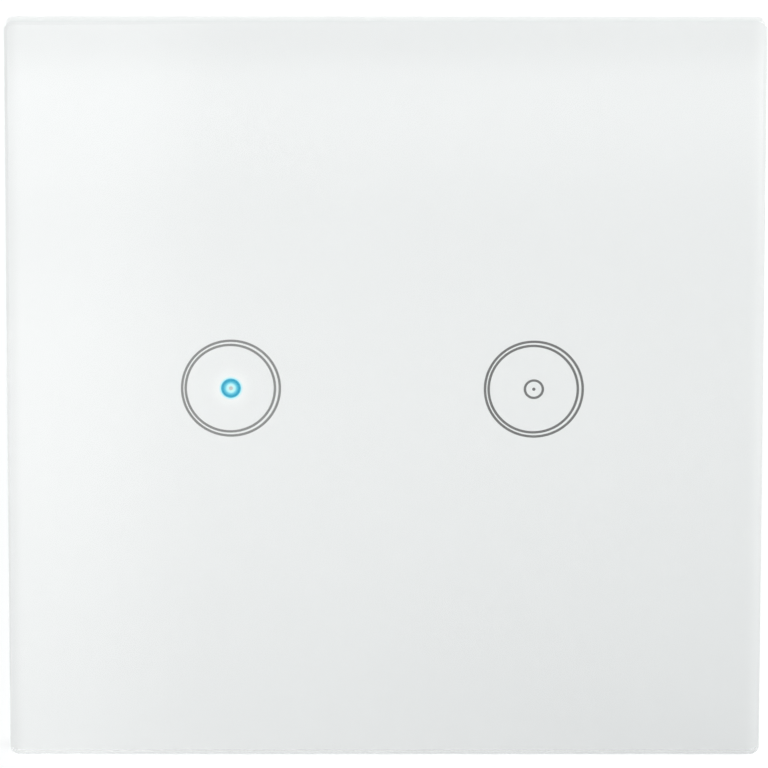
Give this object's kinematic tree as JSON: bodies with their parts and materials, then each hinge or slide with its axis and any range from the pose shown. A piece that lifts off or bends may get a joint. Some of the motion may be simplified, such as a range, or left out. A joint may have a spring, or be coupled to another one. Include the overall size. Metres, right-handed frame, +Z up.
{
  "type": "double touch light switch",
  "caption": "Square glass-faced double touch light switch with a pull-off front cover, steel mounting plate and a stepped housing for a round wall box.",
  "frame": {"origin": "centre of the fixing slots on the wall surface, at the back of the mounting plate", "axes": "+X to the right of the face, +Y into the wall, +Z up; the glass faces -Y"},
  "size_m": [0.086, 0.0364, 0.086],
  "materials": {
    "face_glass": "toughened glass over a white back print",
    "adhesive": "white foam sheet",
    "frame_plastic": "fine moulded grain",
    "clear_plastic": "clear moulding",
    "black_plastic": "opaque black moulding",
    "spring_steel": "tinned spring wire",
    "control_laminate": "green solder mask",
    "small_screw": "zinc plated",
    "lamp": "clear resin on a white carrier",
    "wireless_laminate": "black solder mask",
    "shield_tin": "tinned can",
    "chip_resin": "moulded resin",
    "contact_gold": "gold flash",
    "plate_steel": "bright zinc plated sheet",
    "plate_screw": "yellow passivated zinc",
    "inner_plastic": "moulded flame retardant plastic",
    "housing_plastic": "moulded flame retardant plastic",
    "power_laminate": "green solder mask",
    "terminal_plastic": "green polyamide",
    "tinned_copper": "tinned copper",
    "relay_iron": "plated iron",
    "spring_bronze": "phosphor bronze strip",
    "ferrite": "dark ferrite",
    "coil_tape": "yellow polyester tape",
    "capacitor_sleeve": "dark heat-shrunk sleeve",
    "capacitor_box": "yellow case",
    "fuse_plastic": "brown case",
    "varistor_dip": "blue dipped resin",
    "terminal_screw": "zinc plated",
    "clamp_steel": "zinc plated strip",
    "relay_base_plastic": "moulded base",
    "relay_case_plastic": "blue dust cover",
    "bobbin_plastic": "moulded former",
    "copper_wire": "enamelled copper"
  },
  "bodies": {
    "wall_part": {"mounting_plate": "plate_steel", "plate_screws": "plate_screw", "inner_cover": "inner_plastic", "rear_housing": "housing_plastic", "power_board": "power_laminate", "socket_body": "black_plastic", "socket_contacts": "contact_gold", "terminal_block": "terminal_plastic", "terminal_bars": "tinned_copper", "relay_cores": "relay_iron", "relay_springs": "spring_bronze", "transformer_core": "ferrite", "transformer_bobbin": "black_plastic", "transformer_winding": "coil_tape", "bulk_capacitors": "capacitor_sleeve", "line_capacitor": "capacitor_box", "fuse": "fuse_plastic", "varistor": "varistor_dip", "inductor": "ferrite", "power_chips": "chip_resin", "relay_base_1": "relay_base_plastic", "relay_case_1": "relay_case_plastic", "relay_yoke_1": "relay_iron", "relay_bobbin_1": "bobbin_plastic", "relay_winding_1": "copper_wire", "relay_contact_1": "tinned_copper", "relay_base_2": "relay_base_plastic", "relay_case_2": "relay_case_plastic", "relay_yoke_2": "relay_iron", "relay_bobbin_2": "bobbin_plastic", "relay_winding_2": "copper_wire", "relay_contact_2": "tinned_copper"},
    "front_cover": {"glass_panel": "face_glass", "adhesive_sheet": "adhesive", "front_frame": "frame_plastic", "light_guide_1": "clear_plastic", "light_guide_2": "clear_plastic", "led_collars": "black_plastic", "touch_spring_1": "spring_steel", "touch_spring_2": "spring_steel", "control_board": "control_laminate", "board_screws": "small_screw", "indicator_leds": "lamp", "wireless_board": "wireless_laminate", "wireless_shield": "shield_tin", "control_chips": "chip_resin", "header_body": "black_plastic", "header_pins": "contact_gold"},
    "terminal_screw_1": {"terminal_screw_1": "terminal_screw"},
    "terminal_clamp_1": {"terminal_clamp_1": "clamp_steel"},
    "terminal_screw_2": {"terminal_screw_2": "terminal_screw"},
    "terminal_clamp_2": {"terminal_clamp_2": "clamp_steel"},
    "terminal_screw_3": {"terminal_screw_3": "terminal_screw"},
    "terminal_clamp_3": {"terminal_clamp_3": "clamp_steel"},
    "terminal_screw_4": {"terminal_screw_4": "terminal_screw"},
    "terminal_clamp_4": {"terminal_clamp_4": "clamp_steel"},
    "relay_armature_1": {"relay_armature_1": "relay_iron", "relay_blade_1": "spring_bronze"},
    "relay_armature_2": {"relay_armature_2": "relay_iron", "relay_blade_2": "spring_bronze"}
  },
  "joints": [
    {"name": "cover_pull", "type": "slide", "parent": "wall_part", "child": "front_cover", "axis": [0, -1, 0], "range_m": [0, 0.03]},
    {"name": "terminal_1_screw", "type": "hinge", "parent": "wall_part", "child": "terminal_screw_1", "pos_m": [-0.01143, 0.016, -0.0161], "axis": [0, 1, 0], "range_deg": [-2736, 0]},
    {"name": "terminal_1_clamp", "type": "slide", "parent": "wall_part", "child": "terminal_clamp_1", "axis": [0, 1, 0], "range_m": [0, 0.0038]},
    {"name": "terminal_2_screw", "type": "hinge", "parent": "wall_part", "child": "terminal_screw_2", "pos_m": [-0.00381, 0.016, -0.0161], "axis": [0, 1, 0], "range_deg": [-2736, 0]},
    {"name": "terminal_2_clamp", "type": "slide", "parent": "wall_part", "child": "terminal_clamp_2", "axis": [0, 1, 0], "range_m": [0, 0.0038]},
    {"name": "terminal_3_screw", "type": "hinge", "parent": "wall_part", "child": "terminal_screw_3", "pos_m": [0.00381, 0.016, -0.0161], "axis": [0, 1, 0], "range_deg": [-2736, 0]},
    {"name": "terminal_3_clamp", "type": "slide", "parent": "wall_part", "child": "terminal_clamp_3", "axis": [0, 1, 0], "range_m": [0, 0.0038]},
    {"name": "terminal_4_screw", "type": "hinge", "parent": "wall_part", "child": "terminal_screw_4", "pos_m": [0.01143, 0.016, -0.0161], "axis": [0, 1, 0], "range_deg": [-2736, 0]},
    {"name": "terminal_4_clamp", "type": "slide", "parent": "wall_part", "child": "terminal_clamp_4", "axis": [0, 1, 0], "range_m": [0, 0.0038]},
    {"name": "relay_1_pull_in", "type": "hinge", "parent": "wall_part", "child": "relay_armature_1", "pos_m": [-0.0168, 0.0189, -0.0056], "axis": [1, 0, 0], "range_deg": [0, 5], "stiffness_Nm_per_rad": 0.002, "springref_deg": -17.19},
    {"name": "relay_2_pull_in", "type": "hinge", "parent": "wall_part", "child": "relay_armature_2", "pos_m": [-0.0062, 0.0189, -0.0056], "axis": [1, 0, 0], "range_deg": [0, 5], "stiffness_Nm_per_rad": 0.002, "springref_deg": -17.19}
  ],
  "couplings": [
    {"joint": "terminal_1_screw", "follows": "terminal_1_clamp", "rad_per_m": -12566},
    {"joint": "terminal_2_screw", "follows": "terminal_2_clamp", "rad_per_m": -12566},
    {"joint": "terminal_3_screw", "follows": "terminal_3_clamp", "rad_per_m": -12566},
    {"joint": "terminal_4_screw", "follows": "terminal_4_clamp", "rad_per_m": -12566}
  ]
}
